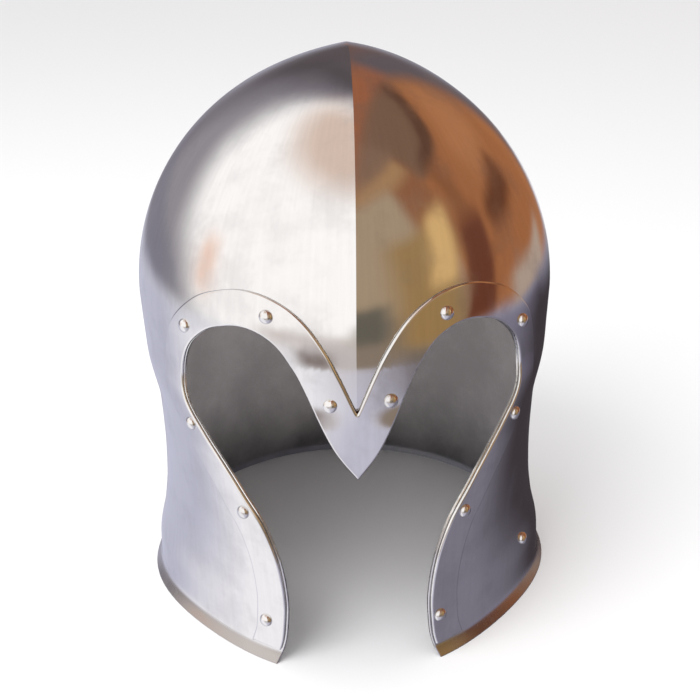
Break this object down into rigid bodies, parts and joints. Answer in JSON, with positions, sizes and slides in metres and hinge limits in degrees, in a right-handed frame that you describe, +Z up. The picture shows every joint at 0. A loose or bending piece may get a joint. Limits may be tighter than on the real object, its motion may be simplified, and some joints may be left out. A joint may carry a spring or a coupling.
{
  "type": "barbute",
  "caption": "Polished steel barbute with a medial ridge, open eyes and face slot, a pointed nasal, a riveted face band and a turned-out rim.",
  "frame": {"origin": "middle of the footprint, in the plane that the rim stands on", "axes": "+Z up through the crown, the face looks along -Y, +X is on the viewer's right"},
  "size_m": [0.218, 0.2508, 0.2817],
  "materials": {
    "skull_steel": "polished, nearly mirror-like outside, duller grey inside",
    "band_steel": "polished",
    "rivet_steel": "polished heads"
  },
  "bodies": {
    "root": {"skull": "skull_steel", "face_band": "band_steel", "rivet_nasal_left": "rivet_steel", "rivet_nasal_right": "rivet_steel", "rivet_brow_left": "rivet_steel", "rivet_brow_right": "rivet_steel", "rivet_temple_left": "rivet_steel", "rivet_temple_right": "rivet_steel", "rivet_upper_cheek_left": "rivet_steel", "rivet_upper_cheek_right": "rivet_steel", "rivet_mid_cheek_left": "rivet_steel", "rivet_mid_cheek_right": "rivet_steel", "rivet_lower_cheek_left": "rivet_steel", "rivet_lower_cheek_right": "rivet_steel", "rivet_side_right": "rivet_steel"}
  },
  "joints": []
}
